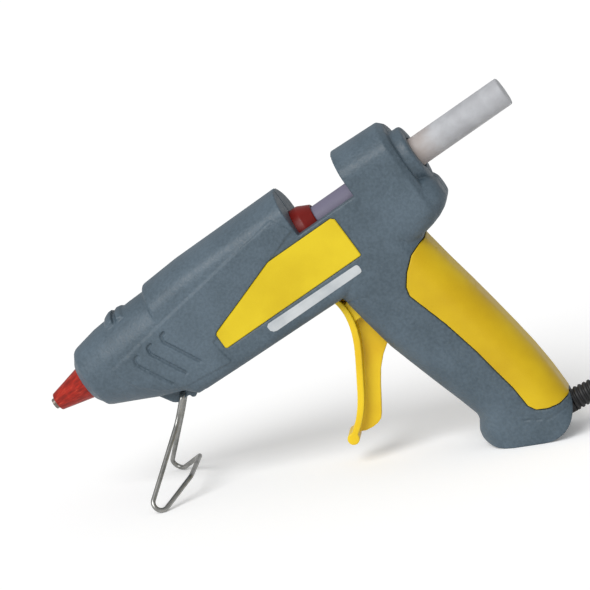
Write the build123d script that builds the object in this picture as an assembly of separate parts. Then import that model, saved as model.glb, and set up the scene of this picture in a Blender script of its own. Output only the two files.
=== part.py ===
from build123d import *
import math
import os

# Trigger-fed hot-melt glue gun standing on its wire stand, in millimetres.
# Everything is drawn in the barrel frame: X runs back along the barrel from the nozzle tip,
# Y to the far side, Z up from the barrel axis. The last section stands it on the floor.

# Posture
BARREL_TILT = 25.7

# Fits
FIT = 0.02
RUNNING = 0.3
SLIDE = 0.2
PARTING = 0.01

# Glue stick
STICK_R = 5.6
STICK_FRONT = 66.0
STICK_REAR = 205.5

# Housing
WALL = 2.4
HANDLE_WALL = 3.4
HALF_WIDTH = 15.0
PANEL_PROUD = 0.6
CROWN_SOFT = 7.0
NOSE_FRONT = 17.8
NOSE_RIM_R = 12.5
NOSE_LIP = 15.4
LIP_WALL = 1.0
SHOULDER_X = 53.4
SHOULDER_TOP = 17.8
BARREL_TOP = 19.1
BARREL_BOTTOM = 27.6
WINDOW_FRONT = 115.3
WINDOW_REAR = 140.4
FEED_ROOM = 6.2
RING_LEN = 8.0
BLOCK_WALL = 5.2
COLLAR_LEN = 4.4
RING_FRONT = WINDOW_REAR + WALL + FEED_ROOM
RING_REAR = RING_FRONT + RING_LEN
BLOCK_REAR = RING_REAR + BLOCK_WALL
COLLAR_END = BLOCK_REAR + COLLAR_LEN
SILL = 1.2
CHANNEL_HALF = 9.4
BLOCK_TOP = 17.4
BLOCK_EDGE = 2.0
COLLAR_R = 11.5
COLLAR_EDGE = 1.2
COLLAR_BORE_R = STICK_R + 0.9
RIB = 2.4
SIGHT_HALF = 8.6

# Handle
HANDLE_SOFT = 10.5
TOE_X = 125.4
HEEL_X = 161.4
TOE_R = 9.0
HEEL_R = 12.0
GRIP_T = 1.8
GRIP_GAP = 0.25
PAD_GROOVE_W = 0.9
PAD_GROOVE_D = 0.5

# Side plates, label and louvres
PLATE_T = 1.2
PLATE_PROUD = 0.3
PLATE_GAP = 0.15
LABEL_T = 0.15
LOUVRE_W = 1.1
LOUVRE_PITCH = 6.7
LOUVRE_STEP = 0.8
LOUVRE_DEPTH = 0.9
LOUVRE_COUNT = 3

# Shell screws
SCREW_R = 1.25
SCREW_HEAD_R = 2.6
SCREW_HEAD_H = 2.2
SCREW_TIP = 8.0
BOSS_R = 3.0
HEAD_SEAT = 10.6

# Nozzle and melt chamber
NOZZLE_TIP_R = 2.1
NOZZLE_BORE_R = 1.0
NOZZLE_BASE = 18.6
NOZZLE_BASE_R = 5.0
SHANK_R = 4.0
SHANK_END = 29.0
CAP_FRONT = 1.5
CAP_FRONT_R = 3.5
CAP_RIM_X = 15.3
CAP_RIM_R = 6.7
CAP_FLANGE_R = 9.5
CHAMBER_FRONT = 22.8
CHAMBER_R = 8.2
CHAMBER_REAR = 98.0
SPIGOT_R = 7.0
SPIGOT_END = 108.0
CHAMBER_BORE_R = STICK_R + RUNNING
MELT_CONE_X = 46.0
MELT_HOLE_R = 1.6
SEAT_FRONT = 24.4
SEAT_REAR = 29.4
SEAT_R = 10.4

# Heater under the chamber
PAD_FRONT = 50.0
PAD_REAR = 86.0
PAD_HALF = 6.0
PAD_DEPTH = 11.5
HEATER_LEN = 24.0
HEATER_HALF = 5.0
HEATER_T = 2.4
FILM_T = 0.3
ELECTRODE_T = 0.4
BAND_T = 0.8
BAND_W = 14.0

# Inlet sleeve
SLEEVE_R = 8.9
SLEEVE_FRONT = 98.4
SLEEVE_END = 122.8
SLEEVE_CONE = 4.6
CLIP_T = 0.9
CLIP_W = 3.0
CLIP_X = 100.2

# Trigger
PIVOT_X = 119.0
PIVOT_Z = -29.0
PIVOT_R = 2.0
HUB_R = 4.6
HUB_HALF = 5.6
ARM_LEN = 17.17
TRIGGER_TRAVEL = 18.0
ARM_IN = 3.3
ARM_OUT = 5.1
ARM_W = 5.0
DRIVE_R = 1.5
FLANGE_T = 2.6
FLANGE_HALF = 6.5
WEB_HALF = 1.5
BEAD_R = 2.3
SLOT_HALF = 7.6
WEB_SLOT_HALF = 2.3
PIN_HALF = 11.4
PIN_BOSS_R = 4.2

# Return spring
SPRING_Z = -42.0
SPRING_R = 3.1
SPRING_WIRE_R = 0.4
SPRING_TURNS = 7
SPRING_SEAT_X = 121.6
SPRING_POST_X = 140.0

# Feed carriage and jaw
RING_R = 10.0
SNOUT_OUT = 0.6
SNOUT_FRONT = WINDOW_REAR - SNOUT_OUT
RING_BORE_R = STICK_R + SLIDE
SNOUT_R = 7.4
TONGUE_FRONT = 112.4
TONGUE_HALF = 3.0
TONGUE_TOP = -9.3
TONGUE_BOTTOM = -15.6
LUG_HALF = 5.0
JAW_SET = 5.0
JAW_X = RING_FRONT + JAW_SET
JAW_Z = -9.4
JAW_HUB_R = 2.2
JAW_PIN_R = 1.0
JAW_HALF = 2.3
JAW_TEETH = 4
JAW_PITCH = 0.8

# Wire stand
WIRE_R = 0.9
STAND_X = 43.2
STAND_Z = -23.7
STAND_LUG_HALF = 5.0
WIRE_FIT = 0.05
STAND_LEG_Y = 7.2

# Cord
CORD_R = 2.75
CORD_EXIT_X = 159.9
CORD_EXIT_Z = -108.9
CORD_DROP = 6.6
BOOT_LEN = 30.0
BOOT_BASE_R = 4.3
BOOT_TIP_R = 3.5
BOOT_RIB = 0.55
BOOT_PITCH = 1.85
BOOT_FLANGE_R = 5.4
BOOT_FLANGE_T = 2.2
BOOT_SEAT = 3.0
SADDLE_DEPTH = 9.0
CORD_INNER = 17.0
COIL_R = 37.0
COIL_STEP = 3.0
COIL_HALF_TURNS = 5
COIL_EASE = 0.5
LAYER_RISE = 6.4
CORD_STUB = 6.0
TIE_T = 0.8
TIE_W = 5.0
PLUG_LEN = 34.0
PLUG_PIN_R = 2.0
PLUG_PIN_LEN = 19.0
PLUG_PIN_PITCH = 18.6
PLUG_HALF = 15.5
PLUG_TALL = 7.6
PLUG_BACK = 47.0
PLUG_ASIDE = 13.0
CORE_R = 0.9
CORD_SEAT = 4.0
CORD_LEAD = 16.0
CONNECTOR_X = 148.0
CONNECTOR_Y = 6.5
CONNECTOR_Z = -72.0
CONNECTOR_LEN = 12.0
CONNECTOR_R = 2.4
LEAD_Y = 10.0
LEAD_Z = -20.5
CLAMP_W = 6.0
CLAMP_T = 1.6
CLAMP_HALF = 9.0
CLAMP_SCREW_Y = 6.2
CLAMP_SCREW_R = 1.1
CLAMP_SCREW_LEN = 5.0

# The cord's route from the strain relief down to its coil, (x, y, z) on the standing gun
CORD_ROUTE = [(150.6, -3.0, 24.9), (163.4, -9.2, 20.7), (173.2, -18.6, 12.5), (183.3, -22.9, 6.7),
              (194.9, -24.9, 3.6), (207.0, -24.9, 3.6)]


def box(x0, x1, y0, y1, z0, z1):
    """A block between two corners."""
    return Pos((x0 + x1) / 2, (y0 + y1) / 2, (z0 + z1) / 2) * Box(x1 - x0, y1 - y0, z1 - z0)


def rod_x(radius, x0, x1, y=0.0, z=0.0):
    """A rod along the barrel."""
    return Pos((x0 + x1) / 2, y, z) * Rot(0, 90, 0) * Cylinder(radius, x1 - x0)


def rod_y(radius, x, z, y0, y1):
    """A rod across the gun."""
    return Pos(x, (y0 + y1) / 2, z) * Rot(90, 0, 0) * Cylinder(radius, y1 - y0)


def prism(points, y0, y1):
    """A side outline of (x, z) points, carried across the gun from y0 to y1."""
    line = Polyline(*[(x, y0, z) for x, z in points], close=True)
    return extrude(make_face(line), y1 - y0, dir=(0, 1, 0))


def turned(points):
    """A body of revolution about the barrel axis from (x, radius) points."""
    line = Polyline(*[(x, 0, r) for x, r in points], close=True)
    return revolve(make_face(line), Axis.X)


def both_sides(shape):
    """The shape and its mirror image on the far side."""
    return shape + mirror(shape, Plane.XZ)


def tube(path_edge, radius):
    """A round wire swept along a path."""
    wire = path_edge if isinstance(path_edge, Wire) else Wire(path_edge.edges())
    start = wire.position_at(0)
    section = Plane(origin=start, z_dir=wire.tangent_at(0)) * Circle(radius)
    return sweep(section, path=wire)


def corner_arc(before, corner, after):
    """A quarter arc between two points one radius from a square corner."""
    soft = 1 - math.sqrt(0.5)
    middle = corner + ((before - corner) + (after - corner)) * soft
    return ThreePointArc(before, middle, after)


def barrel_ring(x, half_width, crown, bottom, corner, inset):
    """A barrel section: a crown about the axis that bends into flat flanks, and a soft-cornered bottom."""
    half, radius, low = half_width - inset, crown - inset, -bottom + inset
    soft = max(corner - inset, 0.5)
    bend = max(CROWN_SOFT - inset, 0.5)
    hub_y = half - bend
    edge = math.sqrt((radius - bend) ** 2 - hub_y ** 2)
    lean = math.atan2(edge, hub_y)
    top_y, top_z = radius * math.cos(lean), radius * math.sin(lean)
    mid_y, mid_z = hub_y + bend * math.cos(lean / 2), edge + bend * math.sin(lean / 2)
    side, base = Vector(x, half, low + soft), Vector(x, half - soft, low)
    far_side, far_base = Vector(x, -half, low + soft), Vector(x, soft - half, low)
    return make_face([
        ThreePointArc((x, -top_y, top_z), (x, 0, radius), (x, top_y, top_z)),
        ThreePointArc((x, top_y, top_z), (x, mid_y, mid_z), (x, half, edge)),
        Line((x, half, edge), side),
        corner_arc(side, Vector(x, half, low), base),
        Line(base, far_base),
        corner_arc(far_base, Vector(x, -half, low), far_side),
        Line(far_side, (x, -half, edge)),
        ThreePointArc((x, -half, edge), (x, -mid_y, mid_z), (x, -top_y, top_z)),
    ])


def soft_block(plane, along0, along1, across, radius, inset):
    """A soft-cornered rectangle on a plane, drawn in by inset."""
    middle = plane.origin + plane.x_dir * ((along0 + along1) / 2)
    place = Plane(origin=middle, x_dir=plane.x_dir, z_dir=plane.z_dir)
    size = along1 - along0 - 2 * inset
    return place * RectangleRounded(size, 2 * (across - inset), max(radius - inset, 0.5))


def barrel(inset):
    """Nose, barrel and rear block as one long body, before the window is cut."""
    rim = NOSE_FRONT + inset
    nose = loft([
        barrel_ring(rim, NOSE_RIM_R - 1.0, NOSE_RIM_R - 0.8, NOSE_RIM_R - 0.8, 10.6, inset),
        barrel_ring(rim + 1.2, NOSE_RIM_R - 0.2, NOSE_RIM_R, NOSE_RIM_R, 11.6, inset),
        barrel_ring(28.7, 14.0, 14.4, 16.6, 11.5, inset),
        barrel_ring(36.0, 14.7, 15.0, 19.6, 10.0, inset),
        barrel_ring(46.0, HALF_WIDTH, 15.6, 22.6, 6.5, inset),
        barrel_ring(50.0, HALF_WIDTH, 15.7, 26.2, 4.5, inset),
        barrel_ring(SHOULDER_X + 6, HALF_WIDTH, 16.0, 26.4, 4.0, inset),
    ], ruled=True)
    long_part = loft([
        barrel_ring(SHOULDER_X + inset, HALF_WIDTH, SHOULDER_TOP - 1, 26.4, 4.0, inset),
        barrel_ring(SHOULDER_X + inset + 1, HALF_WIDTH, SHOULDER_TOP, 26.4, 4.0, inset),
        barrel_ring(70.0, HALF_WIDTH, BARREL_TOP - 0.3, 26.8, 4.0, inset),
        barrel_ring(WINDOW_FRONT, HALF_WIDTH, BARREL_TOP, BARREL_BOTTOM, 4.0, inset),
        barrel_ring(BLOCK_REAR - BLOCK_EDGE, HALF_WIDTH, BLOCK_TOP, 23.0, 6.0, inset),
        barrel_ring(BLOCK_REAR - inset, HALF_WIDTH, BLOCK_TOP, 23.0, 6.0, inset + BLOCK_EDGE),
    ], ruled=True)
    return nose + long_part


def tail(inset):
    """The hump over the web of the hand, behind and below the stick collar."""
    sections = [(146.0, -26.4, -5.0, HALF_WIDTH, 6.0), (157.0, -24.4, -6.0, 14.6, 6.5),
                (161.0, -23.2, -6.8, 13.9, 6.4), (164.2, -21.6, -8.4, 12.6, 6.0),
                (166.2 - inset / 2, -20.0, -10.4, 10.8, 4.6), (167.2 - inset, -18.8, -12.0, 8.4, 3.0)]
    return loft([
        soft_block(Plane(origin=(x, 0, 0), x_dir=(0, 0, 1), z_dir=(1, 0, 0)), low, high, half, soft, inset)
        for x, low, high, half, soft in sections
    ], ruled=True)


def handle(inset):
    """The handle with its toe and heel, cut along the floor line."""
    sections = [(-10.0, 113.0, 150.0), (-28.0, 113.2, 151.8), (-40.0, 115.0, 153.7),
                (-51.0, 116.9, 155.7), (-62.0, 120.0, 157.5), (-74.0, 123.5, 159.3),
                (-84.0, 126.6, 160.6), (-92.0, 128.8, 161.2), (-94.0, 128.4, 161.3),
                (-97.6, TOE_X + 0.6, HEEL_X), (-100.0, TOE_X, HEEL_X), (-130.0, TOE_X, HEEL_X)]
    body = loft([
        soft_block(Plane(origin=(0, 0, z), x_dir=(1, 0, 0), z_dir=(0, 0, 1)), front, rear,
                   HALF_WIDTH, HANDLE_SOFT, inset)
        for z, front, rear in sections
    ], ruled=True)
    heel = HEEL_X - inset
    lift = inset / math.cos(math.radians(BARREL_TILT))
    front = TOE_X + inset
    corners = [(front, -98), (front, floor_z(front) + lift), (heel, floor_z(heel) + lift), (heel, -98)]
    line = FilletPolyline(*[(x, 0, z) for x, z in corners], radius=[TOE_R - inset, HEEL_R - inset])
    foot = extrude(make_face(line + Line(line @ 1, line @ 0)), HALF_WIDTH, dir=(0, 1, 0), both=True)
    return body & (foot + box(100, 180, -HALF_WIDTH, HALF_WIDTH, -98, 0))


# Side outlines, (x, z)
PANEL = [(28.3, -0.7), (48.8, 2.5), (82.5, 7.5), (110.2, 11.6), (114.2, 4.2), (98.2, -0.8), (66, -13),
         (67.4, -22.6), (46, -20.4), (39, -17.0), (33, -11.0)]
PLATE = [(69.6, -10.8), (68.9, -11.6), (68.8, -17.2), (69.4, -17.8), (129.6, -17.8), (130.0, -17.4),
         (129.8, -1.5), (128.6, -0.4), (100.4, -0.4)]
LABEL = [(87.1, -19.0), (125.9, -19.6), (126.6, -19.9), (126.9, -20.6), (126.9, -22.0), (126.6, -22.7),
         (125.9, -23.0), (88.3, -23.0), (87.1, -22.6), (86.2, -21.6), (86.1, -19.8)]
GRIP = [(156, -26.0), (149, -26.8), (144.7, -28.2), (139.6, -32.6), (136.2, -37.0), (135.4, -40.4),
        (137.1, -46.0), (140.2, -56.5), (143.4, -71.0), (145.0, -81.2), (146.5, -89.9), (147.0, -98.6),
        (148.6, -101.4), (152.0, -103.4), (156.8, -104.8), (165, -104.8), (170, -60)]
PAD_LINE = [(114.2, -29.6), (121.9, -31.4), (128.2, -43.4), (132.0, -52.8), (134.5, -64.0),
            (138.2, -80.1), (141.2, -89.0), (140.8, -101.0), (150.4, -106.8), (159.0, -107.6)]
TRIGGER_FRONT = [(108.6, -24.6), (110.2, -30.0), (109.0, -39.0), (100.9, -54.1), (91.5, -67.3),
                 (84.8, -72.6)]
TRIGGER_WEB = [(110.0, -29.0), (109.2, -39.4), (101.4, -54.6), (92.4, -67.2), (86.0, -72.6),
               (88.0, -73.6), (90.6, -74.7), (93.4, -75.0), (95.8, -74.8), (97.6, -74.1), (98.8, -72.8),
               (101.5, -68.9), (105.2, -63.3), (108.6, -58.6), (112.4, -54.8), (116.8, -51.6),
               (119.6, -46.6), (119.6, -36.0), (121.0, -29.0)]
LOUVRE = [(53.7, 0.4), (51.8, -0.2), (51.5, -2.6), (58.3, -15.9)]
SCREWS = [(39.0, -15.5), (64.0, -21.0), (104.0, 13.3), (RING_FRONT + 2.0, 13.6), (141.0, -78.0), (134.0, -99.0)]

# The stand's wire on the near side: hinge end, leg, foot bend and half the crossbar
STAND_HALF = [(STAND_X, -2.0, STAND_Z), (STAND_X, -STAND_LEG_Y, STAND_Z),
              (35.9, -STAND_LEG_Y - 1.0, -30.8), (14.7, -31.0, -48.0), (17.1, -30.6, -52.2),
              (29.5, -15.0, -49.4)]
STAND_BENDS = [2.0, 9.0, 3.0, 3.0, 3.2]


def stand_wire():
    """The folding stand, one bent wire."""
    far = [(x, -y, z) for x, y, z in reversed(STAND_HALF)]
    path = FilletPolyline(*STAND_HALF, *far, radius=STAND_BENDS + STAND_BENDS[::-1])
    return tube(path, WIRE_R)


# Where the cord leaves the heel, and which way it points
cord_frame = Pos(CORD_EXIT_X, 0, CORD_EXIT_Z) * Rot(0, CORD_DROP, 0)

# The floor touches the stand's feet; in the barrel frame it is a slanted line
tilt = math.radians(BARREL_TILT)
stand = stand_wire()
floor_drop = (Rot(0, -BARREL_TILT, 0) * stand).bounding_box().min.Z


def floor_z(x):
    """Height of the floor line under a place on the barrel axis."""
    return (floor_drop - x * math.sin(tilt)) / math.cos(tilt)


def outside(inset):
    """The housing's outer body without its handle, drawn in by inset."""
    return barrel(inset) + tail(inset)


def side_panels():
    """The slightly raised flank on each side of the barrel's front half."""
    return both_sides(prism(PANEL, -HALF_WIDTH - 2 * PANEL_PROUD, 2 - HALF_WIDTH)) & barrel(-PANEL_PROUD)


def stand_lug():
    """The hinge lug under the nose, with the notch between its two lobes."""
    lobes = [(33, -12), (35.5, -20), (38.2, -24.4), (40.4, -25.8), (41.4, -25.0), (41.6, -20.8),
             (42.2, -20.2), (44.4, -20.2), (45.0, -21.0), (45.2, -26.8), (46.4, -27.4),
             (48.4, -26.0), (52, -20), (52, -12)]
    return prism(lobes, -STAND_LUG_HALF, STAND_LUG_HALF) + box(
        40.6, 46, -STAND_LUG_HALF, STAND_LUG_HALF, STAND_Z - 1.8, STAND_Z + 4)


def sight_lug():
    """The notched lug over the top of the nose."""
    lug = turned([(33.4, 12), (35.2, 15.8), (37.2, 16.7), (39.4, 16.8), (42.6, 16.2), (45.4, 12)])
    lug -= turned([(38.3, 15.1), (38.9, 18), (41.0, 18), (39.9, 15.1)])
    return lug & box(30, 50, -SIGHT_HALF, SIGHT_HALF, 10, 20)


def nose_face():
    """The coned front face of the nose, round the cap's hole."""
    rim = NOSE_RIM_R - LIP_WALL
    return turned([(NOSE_LIP, 0), (NOSE_LIP, CAP_RIM_R + RUNNING + SLIDE + LIP_WALL), (NOSE_FRONT, rim),
                   (NOSE_FRONT + LIP_WALL, rim), (NOSE_FRONT + LIP_WALL, 0)])


def collar():
    """The round mouth behind the rear block that the stick goes in by."""
    tube_end = rod_x(COLLAR_R, WINDOW_REAR + WALL, COLLAR_END)
    return fillet(tube_end.edges().sort_by(Axis.X)[-1], COLLAR_EDGE)


def inner_walls():
    """Bosses, cradles and rails moulded inside the shells, before they are cut to the housing."""
    reach = HALF_WIDTH - WALL + 1
    walls = box(SEAT_FRONT, SEAT_REAR, -reach, reach, -18, 14)
    cradle = box(110.0, WINDOW_FRONT - WALL, -reach, reach, -13.0, SILL)
    walls += cradle - box(100, 120, -TONGUE_HALF - SLIDE, TONGUE_HALF + SLIDE,
                          TONGUE_BOTTOM - SLIDE, TONGUE_TOP + SLIDE)
    for x, z in SCREWS:
        walls += rod_y(BOSS_R, x, z, -reach, reach)
    pin_boss = rod_y(PIN_BOSS_R, PIVOT_X, PIVOT_Z, HUB_HALF + SLIDE, reach)
    rail_top = TONGUE_BOTTOM - SLIDE
    tongue_rail = box(124, 141, 1.0, reach, rail_top - RIB, rail_top)
    ring_rail = box(WINDOW_REAR, RING_REAR + 2, RING_R + SLIDE, reach, -RIB, RIB)
    walls += both_sides(pin_boss + tongue_rail + ring_rail)
    post_half = SPRING_R + SPRING_WIRE_R + 1
    walls += box(SPRING_POST_X, SPRING_POST_X + RIB, -reach, reach, SPRING_Z - post_half,
                 SPRING_Z + post_half)
    saddle = box(-CORD_INNER, -BOOT_SEAT - BOOT_FLANGE_T - RIB, -reach, reach, -SADDLE_DEPTH, 0)
    return walls + cord_line(saddle)


def cord_line(shape):
    """Places a shape drawn along X from the cord's exit in the handle's heel."""
    return cord_frame * shape


def housing():
    """Both shells as one hollow body."""
    grip = handle(0)
    outer = outside(0) + grip + side_panels() + nose_face() + collar()
    outer += stand_lug() + sight_lug()
    cavity = outside(WALL) + handle(HANDLE_WALL)
    cavity -= box(WINDOW_FRONT - WALL, WINDOW_REAR + WALL, -40, 40, SILL - WALL, 40)
    cavity -= box(BLOCK_REAR - WALL, 200, -40, 40, -10, 40)
    body = outer - cavity
    body += inner_walls() & outer
    cuts = [
        box(WINDOW_FRONT, WINDOW_REAR, -40, 40, SILL, 40),
        box(WINDOW_FRONT, WINDOW_REAR, -CHANNEL_HALF, CHANNEL_HALF, SILL - WALL - 1, SILL + 1),
        rod_x(SLEEVE_R, SLEEVE_FRONT, WINDOW_FRONT + 1),
        rod_x(SNOUT_R + RUNNING, WINDOW_REAR - 1, RING_FRONT),
        rod_x(COLLAR_BORE_R, RING_REAR, COLLAR_END + 5),
        rod_x(CAP_RIM_R + RUNNING + SLIDE, 0, SEAT_FRONT),
        rod_x(CAP_FLANGE_R + RUNNING, NOSE_FRONT + WALL, SEAT_FRONT),
        rod_x(SEAT_R + FIT, SEAT_FRONT, SEAT_REAR + 1),
        trigger_way(),
        rod_y(PIVOT_R + FIT, PIVOT_X, PIVOT_Z, -PIN_HALF, PIN_HALF),
        rod_y(WIRE_R + WIRE_FIT, STAND_X, STAND_Z, -STAND_LUG_HALF - 1, STAND_LUG_HALF + 1),
        cord_line(rod_x(CORD_R + FIT, -CORD_INNER - 1, 20)),
        cord_line(rod_x(BOOT_FLANGE_R + FIT, -BOOT_SEAT - BOOT_FLANGE_T, -BOOT_SEAT)),
        cord_line(rod_x(BOOT_BASE_R + FIT, -BOOT_SEAT, 20)),
    ]
    for side in (-1, 1):
        cuts.append(cord_line(clamp_hole(side)))
    for x, z in SCREWS:
        cuts.append(rod_y(SCREW_R + FIT, x, z, -SCREW_TIP - 1, HALF_WIDTH + 2))
        cuts.append(rod_y(SCREW_HEAD_R + SLIDE, x, z, HEAD_SEAT, HALF_WIDTH + 4))
    skin = grip - handle(GRIP_T)
    cuts.append(skin & prism(GRIP, -40, 40))
    pad_edge = groove(PAD_LINE, PAD_GROOVE_W, -HALF_WIDTH - 1, HALF_WIDTH + 1)
    cuts.append((grip - handle(PAD_GROOVE_D)) & pad_edge)
    return body - cuts - plate_pocket() - louvres()


def trigger_way():
    """The slot under the barrel and down the handle's front that the trigger swings in."""
    wide = box(102, PIVOT_X + 4, -SLOT_HALF, SLOT_HALF, -52, PIVOT_Z + HUB_R + 1)
    narrow = box(110, 128, -WEB_SLOT_HALF, WEB_SLOT_HALF, -64, -40)
    hub = rod_y(HUB_R + 1, PIVOT_X, PIVOT_Z, -HUB_HALF - SLIDE, HUB_HALF + SLIDE)
    return wide + narrow + hub


def rear_grip():
    """The grip that wraps the back of the handle, cut out round the strain relief."""
    outline = make_face(Polyline(*[(x, 0, z) for x, z in GRIP], close=True))
    block = extrude(offset(outline, -GRIP_GAP), HALF_WIDTH + 1, dir=(0, 1, 0), both=True)
    skin = handle(0) - handle(GRIP_T - FIT)
    return (skin & block) - cord_line(rod_x(BOOT_BASE_R + RUNNING, -BOOT_LEN, BOOT_LEN))


def side_plate(outline, inner, outer, grow):
    """A flat plate on both flanks between two distances from the middle, grown round its edge."""
    line = Polyline(*[(x, 0, z) for x, z in outline], close=True)
    face = make_face(line)
    if grow:
        face = offset(face, grow)
    near = extrude(Pos(0, -outer, 0) * face, outer - inner, dir=(0, 1, 0))
    return near


def plate_pocket():
    """The recess that each side plate lies in."""
    floor = HALF_WIDTH + PLATE_PROUD - PLATE_T
    return both_sides(side_plate(PLATE, floor, HALF_WIDTH + 3, PLATE_GAP))


def groove(points, width, y0, y1):
    """A round-ended groove along (x, z) points, between two distances across the gun."""
    runs = [rod_y(width / 2, x, z, y0, y1) for x, z in points]
    for (x0, z0), (x1, z1) in zip(points, points[1:]):
        share = width / 2 / math.dist((x0, z0), (x1, z1))
        dx, dz = (z1 - z0) * share, (x0 - x1) * share
        runs.append(prism([(x0 + dx, z0 + dz), (x1 + dx, z1 + dz), (x1 - dx, z1 - dz), (x0 - dx, z0 - dz)],
                          y0, y1))
    return runs[0] + runs[1:]


def louvres():
    """Hooked blind grooves slanting down each side of the nose."""
    cuts = []
    for index in range(LOUVRE_COUNT):
        points = [(x - index * LOUVRE_PITCH, z - index * LOUVRE_STEP) for x, z in LOUVRE]
        near = groove(points, LOUVRE_W, -HALF_WIDTH - 2 * PANEL_PROUD, 4 - HALF_WIDTH)
        cuts.append(both_sides(near) - barrel(LOUVRE_DEPTH - PANEL_PROUD))
    return cuts


def name_plate():
    """The near side plate; the far one is its mirror image."""
    outer = HALF_WIDTH + PLATE_PROUD
    plate = side_plate(PLATE, outer - PLATE_T, outer, 0)
    rim = plate.faces().sort_by(Axis.Y)[0].edges()
    return chamfer(rim, PLATE_PROUD)


def nozzle():
    """The metal nozzle with its shank in the chamber."""
    outer = turned([(0, 0), (0, NOZZLE_TIP_R), (CAP_FRONT + 1, NOZZLE_TIP_R + 0.2),
                    (NOZZLE_BASE - 5, NOZZLE_BASE_R), (NOZZLE_BASE, NOZZLE_BASE_R),
                    (CHAMBER_FRONT, NOZZLE_BASE_R), (CHAMBER_FRONT, SHANK_R),
                    (SHANK_END, SHANK_R), (SHANK_END, 0)])
    return outer - rod_x(NOZZLE_BORE_R, -1, SHANK_END + 1)


def nozzle_cap():
    """The red heat guard over the nozzle, held behind the nose rim by its flange."""
    flange = NOSE_FRONT + WALL + SLIDE
    outer = turned([(CAP_FRONT, 0), (CAP_FRONT, CAP_FRONT_R), (CAP_RIM_X, CAP_RIM_R),
                    (flange, CAP_RIM_R), (flange, CAP_FLANGE_R), (CHAMBER_FRONT, CAP_FLANGE_R),
                    (CHAMBER_FRONT, 0)])
    inner = turned([(CAP_FRONT - 1, 0), (CAP_FRONT - 1, NOZZLE_TIP_R + 0.2 + FIT),
                    (CAP_FRONT + 1, NOZZLE_TIP_R + 0.2 + FIT), (NOZZLE_BASE - 5, NOZZLE_BASE_R + FIT),
                    (CHAMBER_FRONT + 1, NOZZLE_BASE_R + FIT), (CHAMBER_FRONT + 1, 0)])
    return outer - inner


def melt_chamber():
    """The cast chamber: bore for the stick, melting cone, spigot for the sleeve, heater pad."""
    body = rod_x(CHAMBER_R, CHAMBER_FRONT, CHAMBER_REAR) + rod_x(SPIGOT_R, CHAMBER_REAR, SPIGOT_END)
    body += box(PAD_FRONT, PAD_REAR, -PAD_HALF, PAD_HALF, -PAD_DEPTH, 0)
    bore = turned([(SHANK_END, 0), (SHANK_END, MELT_HOLE_R), (SHANK_END + 3, MELT_HOLE_R),
                   (MELT_CONE_X, CHAMBER_BORE_R), (SPIGOT_END + 1, CHAMBER_BORE_R), (SPIGOT_END + 1, 0)])
    return body - bore - rod_x(SHANK_R + FIT, CHAMBER_FRONT - 1, SHANK_END)


def heater_layers():
    """The heater stack under the chamber's pad, top layer first: name, thickness."""
    middle = (PAD_FRONT + PAD_REAR) / 2
    x0, x1 = middle - HEATER_LEN / 2, middle + HEATER_LEN / 2
    layers = {}
    z = -PAD_DEPTH
    for name, thick, extra in [("film_top", FILM_T, 0.6), ("plate_top", ELECTRODE_T, 0),
                               ("pill", HEATER_T, 0), ("plate_low", ELECTRODE_T, 0),
                               ("film_low", FILM_T, 0.6)]:
        layer = box(x0 - extra, x1 + extra, -HEATER_HALF - extra, HEATER_HALF + extra, z - thick, z)
        if name.startswith("plate"):
            side = -1 if name == "plate_top" else 1
            layer += box(x1, x1 + 8, side * 3 - 1.2, side * 3 + 1.2, z - thick, z)
        layers[name] = layer
        z -= thick
    return layers, z


def heater_clamp(stack_bottom):
    """The spring band that presses the heater against the chamber."""
    middle = (PAD_FRONT + PAD_REAR) / 2
    x0, x1 = middle - BAND_W / 2, middle + BAND_W / 2
    inner_r = CHAMBER_R + FIT
    inner = rod_x(inner_r, x0 - 1, x1 + 1) + box(x0 - 1, x1 + 1, -inner_r, inner_r, stack_bottom, 0)
    outer_r = inner_r + BAND_T
    outer = rod_x(outer_r, x0, x1) + box(x0, x1, -outer_r, outer_r, stack_bottom - BAND_T, 0)
    return outer - inner


def inlet_sleeve():
    """The soft sleeve that leads the stick into the chamber, its mouth turned to a cone."""
    mouth = SLEEVE_R - SLEEVE_CONE / 2
    return turned([(SLEEVE_FRONT, SPIGOT_R), (SLEEVE_FRONT, SLEEVE_R), (SLEEVE_END - SLEEVE_CONE, SLEEVE_R),
                   (SLEEVE_END, mouth), (SLEEVE_END, CHAMBER_BORE_R), (SPIGOT_END, CHAMBER_BORE_R),
                   (SPIGOT_END, SPIGOT_R)])


def sleeve_clip():
    """The open spring ring round the inlet sleeve."""
    ring = rod_x(SLEEVE_R + CLIP_T, CLIP_X, CLIP_X + CLIP_W) - rod_x(SLEEVE_R, CLIP_X - 1, CLIP_X + CLIP_W + 1)
    return ring - box(CLIP_X - 1, CLIP_X + CLIP_W + 1, -2, 2, 0, 20)


def drive_point():
    """The drive pin's place at rest, half the travel behind the pivot's plumb line."""
    lean = math.radians(TRIGGER_TRAVEL / 2)
    return PIVOT_X + ARM_LEN * math.sin(lean), PIVOT_Z + ARM_LEN * math.cos(lean)


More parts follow.
